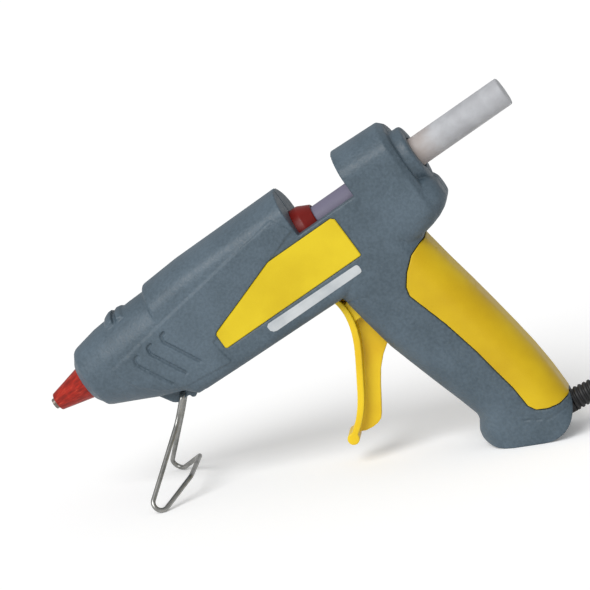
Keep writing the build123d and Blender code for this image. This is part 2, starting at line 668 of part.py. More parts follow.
def trigger():
    """The T-section trigger with its hub, twin arms and drive pin."""
    front = Spline(*[(x, 0, z) for x, z in TRIGGER_FRONT])
    back = Spline(*[(x + FLANGE_T * 0.86, 0, z - FLANGE_T * 0.5) for x, z in TRIGGER_FRONT])
    face = make_face(front + Line(front @ 1, back @ 1) + back + Line(back @ 0, front @ 0))
    body = extrude(face, FLANGE_HALF, dir=(0, 1, 0), both=True)
    body += rod_y(BEAD_R, TRIGGER_FRONT[-1][0] + 0.8, TRIGGER_FRONT[-1][1] - 1.2, -FLANGE_HALF, FLANGE_HALF)
    body += prism(TRIGGER_WEB, -WEB_HALF, WEB_HALF)
    body += rod_y(HUB_R, PIVOT_X, PIVOT_Z, -HUB_HALF, HUB_HALF)
    body += prism([(110.6, -31.0), (109.8, -38.0), (118.4, -38.0), (PIVOT_X + HUB_R - 0.4, PIVOT_Z),
                   (PIVOT_X, PIVOT_Z)], -ARM_OUT, ARM_OUT)
    x, z = drive_point()
    lean = math.degrees(math.atan2(x - PIVOT_X, z - PIVOT_Z))
    arm = extrude(SlotCenterToCenter(ARM_LEN, ARM_W), ARM_OUT - ARM_IN)
    middle = Pos((PIVOT_X + x) / 2, -ARM_IN, (PIVOT_Z + z) / 2)
    arm = middle * Rot(0, lean - 90, 0) * Rot(90, 0, 0) * arm
    body += both_sides(arm)
    body += rod_y(DRIVE_R, x, z, -ARM_OUT, ARM_OUT)
    seat = rod_x(SPRING_R - SPRING_WIRE_R - SLIDE, 118, SPRING_SEAT_X + 2.4, 0, SPRING_Z)
    seat += rod_x(SPRING_R + SPRING_WIRE_R, 118, SPRING_SEAT_X, 0, SPRING_Z)
    return body + seat - rod_y(PIVOT_R + FIT, PIVOT_X, PIVOT_Z, -20, 20)


def feed_carriage():
    """The sliding feeder: a ring round the stick, its snout, and a tongue that the trigger drives."""
    body = rod_x(RING_R, RING_FRONT, RING_REAR) + rod_x(SNOUT_R, SNOUT_FRONT, RING_FRONT)
    body += box(RING_FRONT, RING_REAR, -LUG_HALF, LUG_HALF, TONGUE_BOTTOM, 0)
    body += box(TONGUE_FRONT, RING_FRONT + 1, -TONGUE_HALF, TONGUE_HALF, TONGUE_BOTTOM, TONGUE_TOP)
    body -= rod_x(RING_BORE_R, SNOUT_FRONT - 1, RING_REAR + 1)
    x, z = drive_point()
    half = DRIVE_R + 0.08
    body -= box(x - half, x + half, -TONGUE_HALF - 1, TONGUE_HALF + 1, TONGUE_BOTTOM - 1, z + DRIVE_R + 0.4)
    jaw_gap = JAW_HALF + SLIDE
    body -= box(RING_FRONT + 1, RING_REAR + 1, -jaw_gap, jaw_gap, TONGUE_BOTTOM - 1, -3)
    return body - rod_y(JAW_PIN_R + FIT, JAW_X, JAW_Z, -LUG_HALF - 1, LUG_HALF + 1)


def feed_jaw():
    """The toothed lever that bites the stick from below."""
    tip = -STICK_R - RUNNING
    outline = [(JAW_X + 1.6, JAW_Z - 1.4), (JAW_X + 1.4, JAW_Z + 1.6)]
    first = JAW_X - 0.4
    for tooth in range(JAW_TEETH):
        edge = first - tooth * JAW_PITCH
        outline += [(edge, tip - 0.6), (edge - 0.25, tip)]
    front = first - JAW_TEETH * JAW_PITCH
    outline += [(front, tip - 0.8), (front + 0.4, JAW_Z)]
    body = prism(outline, -JAW_HALF, JAW_HALF) + rod_y(JAW_HUB_R, JAW_X, JAW_Z, -JAW_HALF, JAW_HALF)
    return body - rod_y(JAW_PIN_R + FIT, JAW_X, JAW_Z, -5, 5)


def return_spring():
    """The compression spring behind the trigger, wound from quarter-turn arcs."""
    length = SPRING_POST_X - SPRING_SEAT_X - 2 * SPRING_WIRE_R - 2 * FIT
    helix = Helix(pitch=length / SPRING_TURNS, height=length, radius=SPRING_R)
    place = Pos(SPRING_SEAT_X + SPRING_WIRE_R + FIT, 0, SPRING_Z) * Rot(0, 90, 0)
    return place * tube(helix, SPRING_WIRE_R)


def screw(x, z):
    """One shell screw, driven from the far side."""
    shank = rod_y(SCREW_R, x, z, -SCREW_TIP, HEAD_SEAT)
    head = rod_y(SCREW_HEAD_R, x, z, HEAD_SEAT, HEAD_SEAT + SCREW_HEAD_H)
    top = HEAD_SEAT + SCREW_HEAD_H
    cross = box(x - 1.6, x + 1.6, top - 0.9, top + 1, z - 0.35, z + 0.35)
    cross += box(x - 0.35, x + 0.35, top - 0.9, top + 1, z - 1.6, z + 1.6)
    return shank + head - cross


def wire_run(points, bends, radius):
    """A lead along straight runs with rounded corners."""
    return tube(FilletPolyline(*points, radius=bends), radius)


def boot():
    """The ribbed strain relief along X from the cord's exit, tapering to the cord."""
    ribs = int(BOOT_LEN / BOOT_PITCH)
    sections = []
    for rib in range(ribs):
        x = rib * BOOT_PITCH
        radius = BOOT_BASE_R + (BOOT_TIP_R - BOOT_BASE_R) * rib / (ribs - 1)
        for share, r in [(0.0, radius - BOOT_RIB), (0.2, radius), (0.6, radius), (0.8, radius - BOOT_RIB)]:
            sections.append(Plane(origin=(x + share * BOOT_PITCH, 0, 0), z_dir=(1, 0, 0)) * Circle(r))
    body = loft(sections, ruled=True)
    body += rod_x(BOOT_BASE_R, -BOOT_SEAT, 0.3) + rod_x(BOOT_FLANGE_R, -BOOT_SEAT - BOOT_FLANGE_T, -BOOT_SEAT)
    return body - rod_x(CORD_R + FIT, -10, BOOT_LEN + 5)


def biarc(start, start_dir, end, end_dir):
    """Two tangent arcs from one place and heading to another."""
    gap = end - start
    lean = 1 - start_dir.dot(end_dir)
    both = start_dir + end_dir
    if lean > 0:
        reach = (-gap.dot(both) + math.sqrt(gap.dot(both) ** 2 + 2 * lean * gap.dot(gap))) / (2 * lean)
    else:
        reach = gap.dot(gap) / (2 * gap.dot(both))
    corner, next_corner = start + start_dir * reach, end - end_dir * reach
    middle = (corner + next_corner) * 0.5
    return [TangentArc(start, middle, tangent=start_dir),
            TangentArc(middle, end, tangent=next_corner - corner)]


def coil_stations(centre_x, centre_y, low):
    """Places and headings at each half turn, in on the lower layer and out on the upper, then at the plug."""
    stations = []
    inward = [COIL_R - COIL_STEP * k for k in range(COIL_HALF_TURNS + 1)]
    inward[-1] -= COIL_EASE
    for k, radius in enumerate(inward + inward[::-1]):
        side = -1 if k % 2 == 0 else 1
        z = low if k <= COIL_HALF_TURNS else low + LAYER_RISE
        stations.append((Vector(centre_x, centre_y + side * radius, z), Vector(-side, 0, 0)))
    last, heading = stations[-1]
    stations.append((Vector(last.X - PLUG_BACK, last.Y - PLUG_ASIDE, PLUG_TALL + FIT), heading))
    return stations


def least_gap(line, diameter, step=2.0):
    """The smallest clear distance of a wound tube to its own other turns."""
    count = int(line.length / step)
    points = [tuple(line.position_at(k / count)) for k in range(count + 1)]
    skip = int(4 * diameter / step)
    nearest = min(math.dist(p, q) for i, p in enumerate(points) for q in points[i + skip:])
    return nearest - diameter


def lead_wires():
    """The two leads from the heater's electrodes back and down to the connectors."""
    tab_x = (PAD_FRONT + PAD_REAR + HEATER_LEN) / 2 + 8
    tab_z = -PAD_DEPTH - FILM_T - ELECTRODE_T / 2
    top = CONNECTOR_Z + CONNECTOR_LEN
    leads = []
    for side, drop in ((-1, 0.0), (1, -HEATER_T - ELECTRODE_T)):
        points = [(tab_x, side * 3, tab_z + drop), (tab_x + 8, side * 3, tab_z + drop),
                  (tab_x + 18, side * LEAD_Y, LEAD_Z), (132, side * LEAD_Y, LEAD_Z),
                  (CONNECTOR_X, side * CONNECTOR_Y, -36), (CONNECTOR_X, side * CONNECTOR_Y, top)]
        leads.append(wire_run(points, [3.0, 5.0, 5.0, 5.0], CORE_R))
    return leads


def crimp_connectors():
    """The two crimped joints between the leads and the cord's cores."""
    joints = []
    for side in (-1, 1):
        middle = Pos(CONNECTOR_X, side * CONNECTOR_Y, CONNECTOR_Z + CONNECTOR_LEN / 2)
        joints.append(middle * Cylinder(CONNECTOR_R, CONNECTOR_LEN))
    return joints


def cord_cores():
    """The cord's two cores from the end of its jacket up to the connectors."""
    cores = []
    for side in (-1, 1):
        start = (cord_frame * Pos(-CORD_INNER, side * 1.2, 0)).position
        ahead = (cord_frame * Pos(-CORD_INNER - 5, side * 1.2, 0)).position
        points = [start, ahead, (CONNECTOR_X - 8, side * 4, -92), (CONNECTOR_X, side * CONNECTOR_Y, -84),
                  (CONNECTOR_X, side * CONNECTOR_Y, CONNECTOR_Z)]
        cores.append(wire_run(points, [2.5, 4.0, 4.0], CORE_R))
    return cores


def cord_clamp():
    """The bridge that grips the cord's jacket inside the heel, along X from the cord's exit."""
    x0, x1 = -CORD_INNER + 2, -CORD_INNER + 2 + CLAMP_W
    bridge = box(x0, x1, -CLAMP_HALF, CLAMP_HALF, 0.6, CORD_R + CLAMP_T)
    bridge -= rod_x(CORD_R, x0 - 1, x1 + 1)
    return bridge - [clamp_hole(side) for side in (-1, 1)]


def clamp_hole(side):
    """The hole for one screw of the cord clamp, through the bridge and into the saddle."""
    middle = -CORD_INNER + 2 + CLAMP_W / 2
    return Pos(middle, side * CLAMP_SCREW_Y, 0) * Cylinder(CLAMP_SCREW_R + FIT, 2 * CLAMP_SCREW_LEN + 1)


def clamp_screw(side):
    """One screw of the cord clamp, into the moulded saddle below it."""
    middle = -CORD_INNER + 2 + CLAMP_W / 2
    top = CORD_R + CLAMP_T
    place = Pos(middle, side * CLAMP_SCREW_Y, 0)
    shank = place * Pos(0, 0, (top - CLAMP_SCREW_LEN) / 2) * Cylinder(CLAMP_SCREW_R, top + CLAMP_SCREW_LEN)
    head = place * Pos(0, 0, top + CLAMP_T / 2) * Cylinder(2 * CLAMP_SCREW_R, CLAMP_T)
    return shank + head


def cord_pieces():
    """The cord beyond the strain relief, lying on the floor behind the gun."""
    exit_frame = upright * Rot(0, -BARREL_TILT, 0) * cord_frame
    start = (exit_frame * Pos(BOOT_LEN - CORD_SEAT, 0, 0)).position
    ahead = (exit_frame * Pos(BOOT_LEN - CORD_SEAT + CORD_LEAD, 0, 0)).position
    route = [start, ahead] + [Vector(*point) for point in CORD_ROUTE]
    radii = []
    for before, here, after in zip(route, route[1:], route[2:]):
        turn = math.radians((here - before).get_angle(after - here))
        radii.append(0.45 * min((here - before).length, (after - here).length) / math.tan(turn / 2))
    print("cord route", [tuple(round(v, 2) for v in point) for point in route])
    print("cord radii", [round(r, 1) for r in radii])
    free_line = FilletPolyline(*route, radius=radii)
    end = route[-1]
    first = Vector(end.X + CORD_STUB, end.Y, end.Z)
    stations = coil_stations(first.X, first.Y + COIL_R, end.Z)
    turns = [Line(end, first)]
    for (p, heading), (q, next_heading) in zip(stations, stations[1:]):
        turns += biarc(p, heading, q, next_heading)
    coil_line = Wire([edge for part in turns for edge in part.edges()])
    print("coil gap", round(least_gap(coil_line, 2 * CORD_R), 2), "mm")
    free_length, coil_length = free_line.length, coil_line.length
    print("cord length", round(free_length, 1), "+", round(coil_length, 1))
    body, pins = plug(stations[-1][0])
    return {
        "power_cord": tube(free_line, CORD_R),
        "cord_coil": tube(coil_line, CORD_R),
        "cord_tie": cord_tie(first.X, first.Y + COIL_R, end.Z),
        "plug_body": body,
        "plug_pins": Compound(pins),
    }


def plug(face):
    """The two-pin plug, its cord side at face and its pins towards -X."""
    sections = [(0.0, CORD_R + 1.2, CORD_R + 1.2), (8.0, 5.0, 5.4), (18.0, 7.0, 11.0),
                (PLUG_LEN - 6, PLUG_TALL, PLUG_HALF), (PLUG_LEN, PLUG_TALL - 0.6, PLUG_HALF - 0.6)]
    blocks = []
    for along, tall, wide in sections:
        place = Plane(origin=(face.X - along, face.Y, face.Z), x_dir=(0, 1, 0), z_dir=(-1, 0, 0))
        blocks.append(place * RectangleRounded(2 * wide, 2 * tall, min(tall, wide) * 0.9))
    body = loft(blocks, ruled=True)
    pins = []
    for side in (-1, 1):
        y = face.Y + side * PLUG_PIN_PITCH / 2
        pin = rod_x(PLUG_PIN_R, face.X - PLUG_LEN - PLUG_PIN_LEN, face.X - PLUG_LEN + 3, y, face.Z)
        tip = pin.edges().sort_by(Axis.X)[0]
        pins.append(fillet(tip, PLUG_PIN_R * 0.8))
        body -= rod_x(PLUG_PIN_R, face.X - PLUG_LEN, face.X - PLUG_LEN + 3, y, face.Z)
    return body, pins


def cord_tie(centre_x, centre_y, low):
    """The tie strapped round all the turns on the coil's outer side."""
    outer_r = COIL_R - COIL_STEP / 2 + CORD_R + TIE_T
    inner_r = COIL_R - COIL_STEP * (COIL_HALF_TURNS - 0.5) - COIL_EASE / 2 - CORD_R - TIE_T
    x0, x1 = centre_x + inner_r, centre_x + outer_r
    y0, y1 = centre_y - TIE_W / 2, centre_y + TIE_W / 2
    z0, z1 = low - CORD_R - FIT, low + LAYER_RISE + CORD_R + FIT
    outer = box(x0 - TIE_T, x1 + TIE_T, y0, y1, z0 - TIE_T, z1 + TIE_T)
    return outer - box(x0, x1, y0 - 1, y1 + 1, z0, z1)


# Pieces, still in the barrel frame
shell = housing()
layers, stack_bottom = heater_layers()
pieces = {
    "left_shell": shell & box(-20, 220, -40, -PARTING, -160, 60),
    "right_shell": shell & box(-20, 220, PARTING, 40, -160, 60),
    "rear_grip": rear_grip(),
    "left_name_plate": name_plate(),
    "right_name_plate": mirror(name_plate(), Plane.XZ),
    "rating_label": side_plate(LABEL, HALF_WIDTH, HALF_WIDTH + LABEL_T, 0),
    "shell_screws": Compound([screw(x, z) for x, z in SCREWS]),
    "nozzle": nozzle(),
    "nozzle_cap": nozzle_cap(),
    "melt_chamber": melt_chamber(),
    "front_seat_ring": rod_x(SEAT_R, SEAT_FRONT, SEAT_REAR) - rod_x(CHAMBER_R, 0, 60),
    "heater_pill": layers["pill"],
    "heater_electrodes": Compound([layers["plate_top"], layers["plate_low"]]),
    "heater_films": Compound([layers["film_top"], layers["film_low"]]),
    "heater_clamp": heater_clamp(stack_bottom),
    "inlet_sleeve": inlet_sleeve(),
    "sleeve_clip": sleeve_clip(),
    "trigger": trigger(),
    "trigger_pin": rod_y(PIVOT_R, PIVOT_X, PIVOT_Z, -PIN_HALF, PIN_HALF),
    "return_spring": return_spring(),
    "feed_carriage": feed_carriage(),
    "feed_jaw": feed_jaw(),
    "jaw_pin": rod_y(JAW_PIN_R, JAW_X, JAW_Z, -LUG_HALF, LUG_HALF),
    "glue_stick": chamfer(rod_x(STICK_R, STICK_FRONT, STICK_REAR).edges(), 0.4),
    "stand_wire": stand,
    "lead_wires": Compound(lead_wires()),
    "crimp_connectors": Compound(crimp_connectors()),
    "cord_cores": Compound(cord_cores()),
    "cord_clamp": cord_line(cord_clamp()),
    "clamp_screws": Compound([cord_line(clamp_screw(side)) for side in (-1, 1)]),
    "cord_tail": cord_line(rod_x(CORD_R, -CORD_INNER, BOOT_LEN - CORD_SEAT)),
    "strain_relief": cord_line(boot()),
}

# Stand the gun on the floor, with the middle of its box over the origin
cord_names = ["cord_tail", "strain_relief"]
tilted = {name: Rot(0, -BARREL_TILT, 0) * shape for name, shape in pieces.items()}
boxes = [shape.bounding_box() for name, shape in tilted.items() if name not in cord_names]
middle_x = (min(b.min.X for b in boxes) + max(b.max.X for b in boxes)) / 2
upright = Pos(-middle_x, 0, -floor_drop)
placed = {name: upright * shape for name, shape in tilted.items()}
placed.update(cord_pieces())

os.makedirs("parts", exist_ok=True)
for name, shape in placed.items():
    print(name, shape.is_valid, round(shape.volume, 1), len(shape.solids()))
    export_step(shape, "parts/" + name + ".step")
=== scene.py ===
"""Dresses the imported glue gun: moulded housing, plates, trigger, stand, stick and mains cord."""
import logging
import math
from dataclasses import dataclass, field
from enum import Enum

import bpy
import numpy as np
from mathutils import Matrix, Vector


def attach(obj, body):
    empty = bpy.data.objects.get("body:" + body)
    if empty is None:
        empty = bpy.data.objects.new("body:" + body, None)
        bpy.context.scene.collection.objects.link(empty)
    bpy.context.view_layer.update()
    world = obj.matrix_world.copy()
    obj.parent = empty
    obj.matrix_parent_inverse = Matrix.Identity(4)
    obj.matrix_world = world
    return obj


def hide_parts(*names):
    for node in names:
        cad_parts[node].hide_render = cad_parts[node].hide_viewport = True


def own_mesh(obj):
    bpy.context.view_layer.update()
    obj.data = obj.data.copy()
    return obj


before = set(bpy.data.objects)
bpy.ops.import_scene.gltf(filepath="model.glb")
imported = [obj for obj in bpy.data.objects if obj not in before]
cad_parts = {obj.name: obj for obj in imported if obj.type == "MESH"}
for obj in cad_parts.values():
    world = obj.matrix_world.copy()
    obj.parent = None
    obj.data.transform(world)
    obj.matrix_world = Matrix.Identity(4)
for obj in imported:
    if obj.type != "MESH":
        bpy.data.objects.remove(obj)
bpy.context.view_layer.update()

LOG = logging.getLogger("glue_gun")
MM = 0.001
TILT = math.radians(25.7)
MERGE = 0.000002
FLAT_ANGLE = math.radians(2)
CORNER_ANGLE = math.radians(50)
PLATE_ANGLE = math.radians(25)

Colour = tuple[float, float, float, float]
Triple = tuple[float, float, float]

NO_LIGHT: Colour = (0.0, 0.0, 0.0, 1.0)
PURE_WHITE: Colour = (1.0, 1.0, 1.0, 1.0)


def srgb(red: int, green: int, blue: int) -> Colour:
    """Turns a colour as it is read off a swatch into shader light values.

    Args:
        red: Red from 0 to 255.
        green: Green from 0 to 255.
        blue: Blue from 0 to 255.

    Returns:
        The linear colour with full alpha.
    """
    linear = []
    for level in (red, green, blue):
        share = level / 255
        linear.append(share / 12.92 if share <= 0.04045 else ((share + 0.055) / 1.055) ** 2.4)
    return (linear[0], linear[1], linear[2], 1.0)


class Body(Enum):
    """The moving bodies of the gun."""

    HOUSING = "housing"
    TRIGGER = "trigger"
    CARRIAGE = "carriage"
    JAW = "jaw"
    STICK = "stick"
    STAND = "stand"


class Signal:
    """A shader socket that takes part in Python arithmetic."""

    def __init__(self, board: "Board", socket: bpy.types.NodeSocket | None) -> None:
        """Keeps the socket and the board it sits on."""
        self.board = board
        self.socket = socket

    def _join(self, operation: str, *terms: "Signal | float") -> "Signal":
        """Adds one Math node over the terms and returns its value."""
        return self.board.add("ShaderNodeMath", {"operation": operation}, dict(enumerate(terms)))

    def __add__(self, other: "Signal | float") -> "Signal":
        """Sum."""
        return self._join("ADD", self, other)

    def __radd__(self, other: float) -> "Signal":
        """Sum with a number in front."""
        return self._join("ADD", other, self)

    def __sub__(self, other: "Signal | float") -> "Signal":
        """Difference."""
        return self._join("SUBTRACT", self, other)

    def __rsub__(self, other: float) -> "Signal":
        """A number less this value."""
        return self._join("SUBTRACT", other, self)

    def __mul__(self, other: "Signal | float") -> "Signal":
        """Product."""
        return self._join("MULTIPLY", self, other)

    def __rmul__(self, other: float) -> "Signal":
        """Product with a number in front."""
        return self._join("MULTIPLY", other, self)

    def span(self, low: float, high: float) -> "Signal":
        """Eases this value from 0 at low to 1 at high.

        Args:
            low: The value that becomes 0.
            high: The value that becomes 1.

        Returns:
            The eased value.
        """
        return self.board.add("ShaderNodeMapRange", {"interpolation_type": "SMOOTHSTEP"},
                              {"Value": self, "From Min": low, "From Max": high})


class Board:
    """The node tree of one material."""

    def __init__(self, name: str) -> None:
        """Starts an empty material of that name."""
        self.material = bpy.data.materials.new(name)
        self.material.use_nodes = True
        self.tree = self.material.node_tree
        self.tree.nodes.clear()

    def add(self, kind: str, settings: dict[str, object] | None = None,
            inputs: dict[int | str, object] | None = None, out: int | str = 0) -> Signal:
        """Adds a node, sets it up and feeds its sockets.

        Args:
            kind: The node's type.
            settings: Its properties.
            inputs: Values or signals by socket number, identifier or name.
            out: Which output to return.

        Returns:
            The chosen output, which an output node lacks.
        """
        node = self.tree.nodes.new(kind)
        for key, value in (settings or {}).items():
            setattr(node, key, value)
        for key, value in (inputs or {}).items():
            socket = self._find(node.inputs, key)
            if isinstance(value, Signal):
                self.tree.links.new(value.socket, socket)
            else:
                socket.default_value = value
        return Signal(self, self._find(node.outputs, out) if node.outputs else None)

    @staticmethod
    def _find(sockets: bpy.types.bpy_prop_collection, key: int | str) -> bpy.types.NodeSocket:
        """Finds a socket by number, identifier or name."""
        if isinstance(key, int):
            return sockets[key]
        for socket in sockets:
            if socket.identifier == key:
                return socket
        return sockets[key]

    def place(self) -> Signal:
        """The point on the piece, in metres."""
        return self.add("ShaderNodeTexCoord", out="Object")

    def turned(self, place: Signal, turn: Triple, scale: Triple = (1.0, 1.0, 1.0)) -> Signal:
        """Turns and stretches the pattern's coordinates.

        Args:
            place: The coordinates.
            turn: The turn about each axis, in radians.
            scale: The stretch along each axis.

        Returns:
            The turned coordinates.
        """
        turned = self.add("ShaderNodeMapping", {"vector_type": "TEXTURE"}, {"Vector": place, "Rotation": turn})
        return self.add("ShaderNodeMapping", {}, {"Vector": turned, "Scale": scale})

    def noise(self, place: Signal, grain: float, detail: float = 2.0, rough: float = 0.5) -> Signal:
        """Cloudy noise.

        Args:
            place: The coordinates.
            grain: The size of one cloud, in metres.
            detail: How many finer layers it has.
            rough: How strong the finer layers are.

        Returns:
            A value about 0.5.
        """
        return self.add("ShaderNodeTexNoise", {"noise_dimensions": "3D"},
                        {"Vector": place, "Scale": 1 / grain, "Detail": detail, "Roughness": rough})

    def cells(self, place: Signal, grain: float) -> Signal:
        """Cell noise: the distance to the middle of the nearest cell of that size."""
        return self.add("ShaderNodeTexVoronoi", {"feature": "SMOOTH_F1"},
                        {"Vector": place, "Scale": 1 / grain, "Smoothness": 0.6}, "Distance")

    def crest(self) -> Signal:
        """The piece's own edge value: above 0 on rounded edges, below 0 in grooves."""
        return self.add("ShaderNodeAttribute", {"attribute_name": "crest"}, out="Fac")

    def blend(self, share: Signal, low: Colour | Signal, high: Colour | Signal) -> Signal:
        """Mixes two colours.

        Args:
            share: 0 for the first colour, 1 for the second.
            low: The first colour.
            high: The second colour.

        Returns:
            The mixed colour.
        """
        return self.add("ShaderNodeMix", {"data_type": "RGBA"},
                        {"Factor_Float": share, "A_Color": low, "B_Color": high}, "Result_Color")

    def bump(self, height: Signal, depth: float, strength: float = 1.0) -> Signal:
        """A surface normal from a height pattern.

        Args:
            height: The pattern, from 0 to 1.
            depth: How high 1 stands, in metres.
            strength: How much of it shows.

        Returns:
            The normal.
        """
        return self.add("ShaderNodeBump", {}, {"Height": height, "Distance": depth, "Strength": strength})

    def finish(self, inputs: dict[int | str, object]) -> bpy.types.Material:
        """Closes the material with its surface shader.

        Args:
            inputs: The surface shader's values and signals by socket name.

        Returns:
            The material.
        """
        surface = self.add("ShaderNodeBsdfPrincipled", {}, inputs)
        self.add("ShaderNodeOutputMaterial", {}, {"Surface": surface})
        return self.material


@dataclass(frozen=True)
class Finish:
    """A finish that makes its material once and gives it to pieces."""

    name: str

    def make(self, board: Board) -> bpy.types.Material:
        """Builds the nodes."""
        raise NotImplementedError

    def material(self) -> bpy.types.Material:
        """The finish's material, made at its first use."""
        return bpy.data.materials.get(self.name) or self.make(Board(self.name))

    def dress(self, *pieces: bpy.types.Object) -> None:
        """Puts the finish on pieces.

        Args:
            pieces: The objects to dress.
        """
        for piece in pieces:
            if not piece.material_slots:
                piece.data.materials.append(None)
            for slot in piece.material_slots:
                slot.material = self.material()


@dataclass(frozen=True)
class MouldedPlastic(Finish):
    """Spark-textured moulding: cloudy tone, fine pebble grain, a painted highlight on rounded edges and painted
    shade in grooves.
    """

    deep: Colour = srgb(62, 77, 87)
    tone: Colour = srgb(86, 102, 114)
    # The paler colour painted on rounded edges as a highlight.
    edge_highlight: Colour = srgb(120, 136, 148)
    roughness: float = 0.5
    pebble: float = 0.7 * MM
    pebble_depth: float = 0.09 * MM
    cloud: float = 22 * MM
    edge: tuple[float, float] = (0.10, 0.34)
    groove: tuple[float, float] = (0.06, 0.30)
    # How strongly the painted edge highlight and the painted groove shade show.
    painted_light: float = 0.55
    # How dark the painted groove shade is, as a share of the deep colour.
    groove_shade: float = 0.35

    def make(self, board: Board) -> bpy.types.Material:
        """Builds the nodes."""
        place = board.place()
        crest = board.crest()
        cloud = board.noise(place, self.cloud, 4.0, 0.6).span(0.3, 0.7)
        fleck = board.noise(place, self.pebble * 1.5, 2.0).span(0.3, 0.7)
        pebble = board.cells(place, self.pebble)
        colour = board.blend(cloud * 0.6 + fleck * 0.4, self.deep, self.tone)
        # Painted highlight: rounded edges are mixed towards the paler colour.
        edge = (crest + (fleck - 0.5) * 0.12).span(*self.edge)
        colour = board.blend(edge * self.painted_light, colour, self.edge_highlight)
        # Painted shade: grooves and recesses are mixed towards a darker colour.
        groove = (crest * -1).span(*self.groove)
        shaded = tuple(level * self.groove_shade for level in self.deep[:3]) + (1.0,)
        colour = board.blend(groove * self.painted_light, colour, shaded)
        rough = self.roughness + (fleck - 0.5) * 0.18 - edge * 0.08
        height = pebble * 0.75 + fleck * 0.5
        return board.finish({"Base Color": colour, "Roughness": rough,
                             "Normal": board.bump(height, self.pebble_depth)})


@dataclass(frozen=True)
class SatinPlastic(Finish):
    """Smooth coloured moulding with a slight orange peel, a cloudy tone, a painted highlight on rounded edges and
    painted shade in grooves.
    """

    deep: Colour
    tone: Colour
    # The paler colour painted on rounded edges as a highlight.
    edge_highlight: Colour
    roughness: float
    # The darker colour painted in grooves and recesses as shade.
    hollow_shade: Colour = srgb(140, 112, 14)
    shine: float = 0.32
    peel: float = 2.6 * MM
    peel_depth: float = 0.02 * MM
    cloud: float = 26 * MM
    fleck: float = 0.6 * MM
    edge: tuple[float, float] = (0.06, 0.30)
    groove: tuple[float, float] = (0.05, 0.3)
    scuff_turn: Triple = (0.3, 0.9, 0.2)
    scuff_scale: Triple = (900.0, 60.0, 900.0)

    def make(self, board: Board) -> bpy.types.Material:
        """Builds the nodes."""
        place = board.place()
        crest = board.crest()
        cloud = board.noise(place, self.cloud, 3.0).span(0.28, 0.72)
        fleck = board.noise(place, self.fleck, 2.0)
        colour = board.blend(cloud * 0.8 + fleck * 0.2, self.deep, self.tone)
        # Painted highlight on rounded edges.
        colour = board.blend(crest.span(*self.edge) * 0.7, colour, self.edge_highlight)
        # Painted shade in grooves and recesses.
        colour = board.blend((crest * -1).span(*self.groove) * 0.6, colour, self.hollow_shade)
        scuff = board.noise(board.turned(place, self.scuff_turn, self.scuff_scale), 1.0, 2.0).span(0.58, 0.74)
        rough = self.roughness + (cloud - 0.5) * 0.08 + scuff * 0.12
        height = board.noise(place, self.peel, 1.0) + fleck * 0.25
        return board.finish({"Base Color": colour, "Roughness": rough, "Specular IOR Level": self.shine,
                             "Normal": board.bump(height, self.peel_depth)})


@dataclass(frozen=True)
class StreakedGuard(Finish):
    """The heat guard's red rubber, streaked along the barrel in lighter red with pale smears: painted streaky
    highlights.
    """

    deep: Colour = srgb(122, 22, 10)
    tone: Colour = srgb(168, 34, 18)
    # The pale smear colour: a painted highlight.
    glue: Colour = srgb(194, 92, 66)
    shine: float = 0.3
    roughness: float = 0.42
    turn: float = TILT
    streak_scale: Triple = (40.0, 1100.0, 1100.0)
    cloud: float = 5 * MM
    relief: float = 0.16 * MM

    def make(self, board: Board) -> bpy.types.Material:
        """Builds the nodes."""
        place = board.place()
        streak = board.noise(board.turned(place, (0.0, -self.turn, 0.0), self.streak_scale), 1.0, 3.0, 0.6)
        cloud = board.noise(place, self.cloud, 3.0)
        # Painted highlight: lighter red streaks along the barrel and pale smears.
        colour = board.blend(streak.span(0.3, 0.68), self.deep, self.tone)
        sheen_smear = (streak * 0.6 + cloud * 0.5).span(0.60, 0.74)
        colour = board.blend(sheen_smear * 0.4, colour, self.glue)
        rough = self.roughness + (cloud - 0.5) * 0.3 - sheen_smear * 0.12
        return board.finish({"Base Color": colour, "Roughness": rough, "Specular IOR Level": self.shine,
                             "Normal": board.bump(streak * 0.8 + cloud * 0.4, self.relief)})


@dataclass(frozen=True)
class FoilLabel(Finish):
    """Silver foil sticker with a fine brushed line."""

    tone: Colour = srgb(208, 212, 214)
    dull: Colour = srgb(178, 184, 188)
    roughness: float = 0.36
    metal: float = 0.35
    turn: float = TILT
    brush_scale: Triple = (70.0, 3000.0, 3000.0)
    cloud: float = 9 * MM
    relief: float = 0.01 * MM

    def make(self, board: Board) -> bpy.types.Material:
        """Builds the nodes."""
        place = board.place()
        brushed = board.noise(board.turned(place, (0.0, -self.turn, 0.0), self.brush_scale), 1.0, 2.0)
        cloud = board.noise(place, self.cloud, 3.0)
        colour = board.blend(cloud.span(0.3, 0.7) * 0.6 + brushed * 0.4, self.dull, self.tone)
        rough = self.roughness + (brushed - 0.5) * 0.25 + (cloud - 0.5) * 0.1
        return board.finish({"Base Color": colour, "Roughness": rough, "Metallic": self.metal,
                             "Normal": board.bump(brushed, self.relief)})


